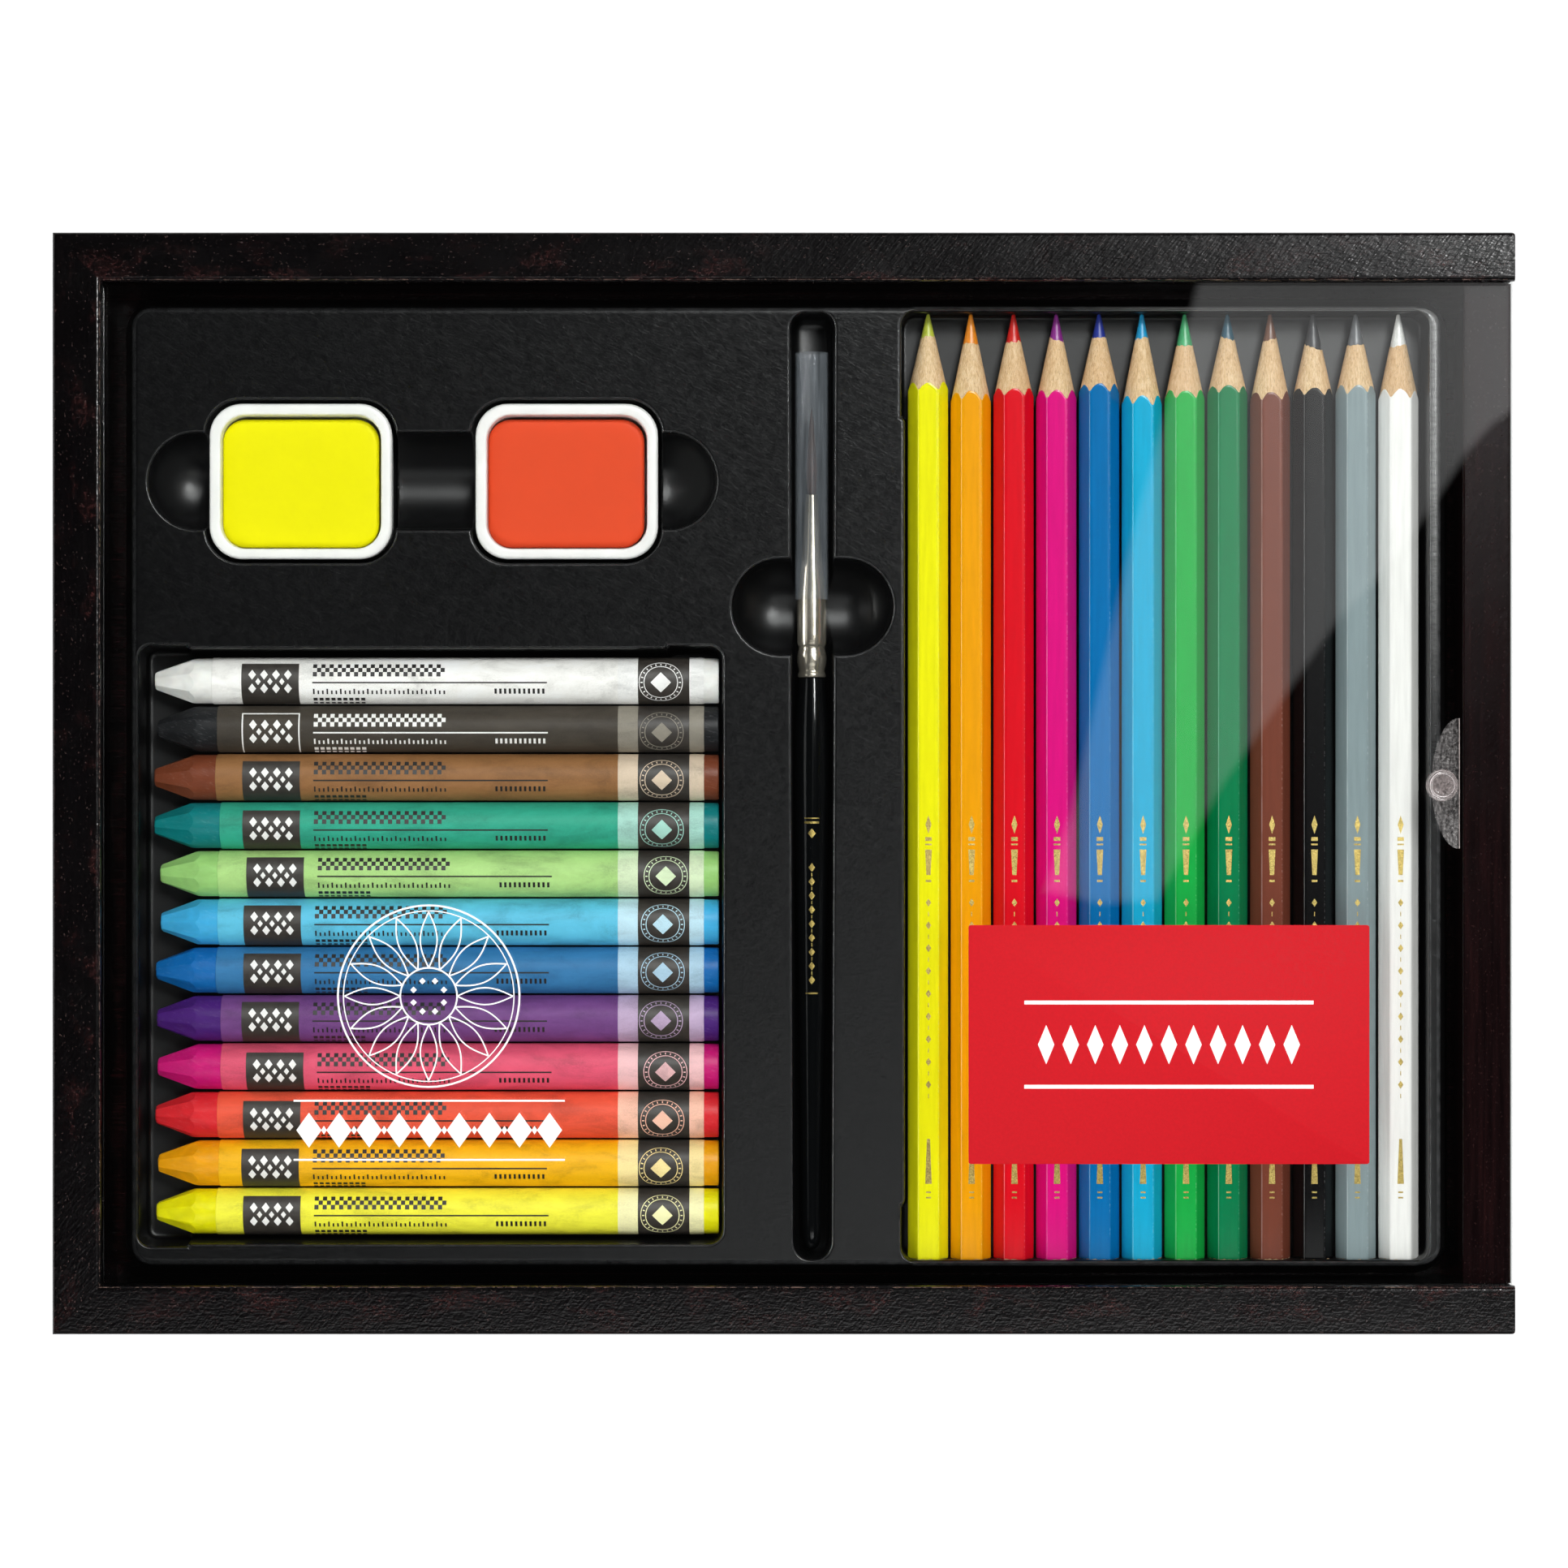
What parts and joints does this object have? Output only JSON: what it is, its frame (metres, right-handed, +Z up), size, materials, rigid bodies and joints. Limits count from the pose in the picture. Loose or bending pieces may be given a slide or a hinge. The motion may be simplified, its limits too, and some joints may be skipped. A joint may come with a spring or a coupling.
{
  "type": "wooden colour set box with sliding lid",
  "caption": "Shallow wooden box with a clear lid that slides in grooves, holding a formed tray of hexagonal pencils, wax pastels, a sleeved brush and pans of paint.",
  "frame": {"origin": "middle of the underside, on the surface the box stands on", "axes": "+X along the box towards the lower end bar, the way the lid opens; +Y towards the back rail; +Z up through the lid"},
  "size_m": [0.267, 0.2012, 0.026],
  "materials": {
    "wood_dark": "dark stained open-grained wood under satin lacquer",
    "base_board": "red-brown stained thin board, matt",
    "acrylic": "clear polished acrylic, milled frosted in the thumb nick",
    "clear_stud": "clear soft plastic",
    "red_label": "plain red coated label, satin",
    "tray_black": "black formed sheet with a fine pebble grain",
    "pan_white": "white moulded plastic, satin",
    "gouache_yellow": "cast opaque paint, matt",
    "gouache_orange": "cast opaque paint, matt",
    "lacquer_black": "black gloss lacquer",
    "nickel": "polished nickel plate",
    "hair_brown": "brown brush hair",
    "sleeve_clear": "clear bluish tube",
    "lacquer_yellow": "gloss lacquer on cedar, bare at the sharpened end and the rear",
    "lacquer_orange": "gloss lacquer on cedar, bare at the sharpened end and the rear",
    "lacquer_red": "gloss lacquer on cedar, bare at the sharpened end and the rear",
    "lacquer_magenta": "gloss lacquer on cedar, bare at the sharpened end and the rear",
    "lacquer_blue": "gloss lacquer on cedar, bare at the sharpened end and the rear",
    "lacquer_sky": "gloss lacquer on cedar, bare at the sharpened end and the rear",
    "lacquer_green": "gloss lacquer on cedar, bare at the sharpened end and the rear",
    "lacquer_dark_green": "gloss lacquer on cedar, bare at the sharpened end and the rear",
    "lacquer_brown": "gloss lacquer on cedar, bare at the sharpened end and the rear",
    "lacquer_black_pencil": "gloss lacquer on cedar, bare at the sharpened end and the rear",
    "lacquer_grey": "gloss lacquer on cedar, bare at the sharpened end and the rear",
    "lacquer_white": "gloss lacquer on cedar, bare at the sharpened end and the rear",
    "lead": "coloured lead, each in its pencil's colour",
    "wax_white": "smooth wax with rub marks",
    "wax_black": "smooth wax with rub marks",
    "wax_brown": "smooth wax with rub marks",
    "wax_emerald": "smooth wax with rub marks",
    "wax_lime": "smooth wax with rub marks",
    "wax_sky": "smooth wax with rub marks",
    "wax_cobalt": "smooth wax with rub marks",
    "wax_violet": "smooth wax with rub marks",
    "wax_magenta": "smooth wax with rub marks",
    "wax_red": "smooth wax with rub marks",
    "wax_orange": "smooth wax with rub marks",
    "wax_yellow": "smooth wax with rub marks",
    "paper_white": "printed uncoated paper",
    "paper_black": "printed uncoated paper",
    "paper_brown": "printed uncoated paper",
    "paper_emerald": "printed uncoated paper",
    "paper_lime": "printed uncoated paper",
    "paper_sky": "printed uncoated paper",
    "paper_cobalt": "printed uncoated paper",
    "paper_violet": "printed uncoated paper",
    "paper_magenta": "printed uncoated paper",
    "paper_red": "printed uncoated paper",
    "paper_orange": "printed uncoated paper",
    "paper_yellow": "printed uncoated paper"
  },
  "bodies": {
    "box": {"rail_back": "wood_dark", "rail_front": "wood_dark", "end_left": "wood_dark", "end_right": "wood_dark", "base_panel": "base_board", "tray": "tray_black", "pan_cup_yellow": "pan_white", "pan_cup_orange": "pan_white", "paint_yellow": "gouache_yellow", "paint_orange": "gouache_orange", "brush_handle": "lacquer_black", "brush_ferrule": "nickel", "brush_hair": "hair_brown", "pencil_yellow": "lacquer_yellow", "pencil_orange": "lacquer_orange", "pencil_red": "lacquer_red", "pencil_magenta": "lacquer_magenta", "pencil_blue": "lacquer_blue", "pencil_sky": "lacquer_sky", "pencil_green": "lacquer_green", "pencil_dark_green": "lacquer_dark_green", "pencil_brown": "lacquer_brown", "pencil_black": "lacquer_black_pencil", "pencil_grey": "lacquer_grey", "pencil_white": "lacquer_white", "pencil_leads": "lead", "pastel_white": "wax_white", "pastel_black": "wax_black", "pastel_brown": "wax_brown", "pastel_emerald": "wax_emerald", "pastel_lime": "wax_lime", "pastel_sky": "wax_sky", "pastel_cobalt": "wax_cobalt", "pastel_violet": "wax_violet", "pastel_magenta": "wax_magenta", "pastel_red": "wax_red", "pastel_orange": "wax_orange", "pastel_yellow": "wax_yellow", "wrap_white": "paper_white", "wrap_black": "paper_black", "wrap_brown": "paper_brown", "wrap_emerald": "paper_emerald", "wrap_lime": "paper_lime", "wrap_sky": "paper_sky", "wrap_cobalt": "paper_cobalt", "wrap_violet": "paper_violet", "wrap_magenta": "paper_magenta", "wrap_red": "paper_red", "wrap_orange": "paper_orange", "wrap_yellow": "paper_yellow"},
    "lid": {"lid_panel": "acrylic", "lid_stud": "clear_stud", "lid_label": "red_label"},
    "sleeve": {"brush_sleeve": "sleeve_clear"}
  },
  "joints": [
    {"name": "lid_slide", "type": "slide", "parent": "box", "child": "lid", "axis": [1, 0, 0], "range_m": [0, 0.255]},
    {"name": "sleeve_slide", "type": "slide", "parent": "box", "child": "sleeve", "axis": [0, 1, 0], "range_m": [0, 0.0055]}
  ]
}
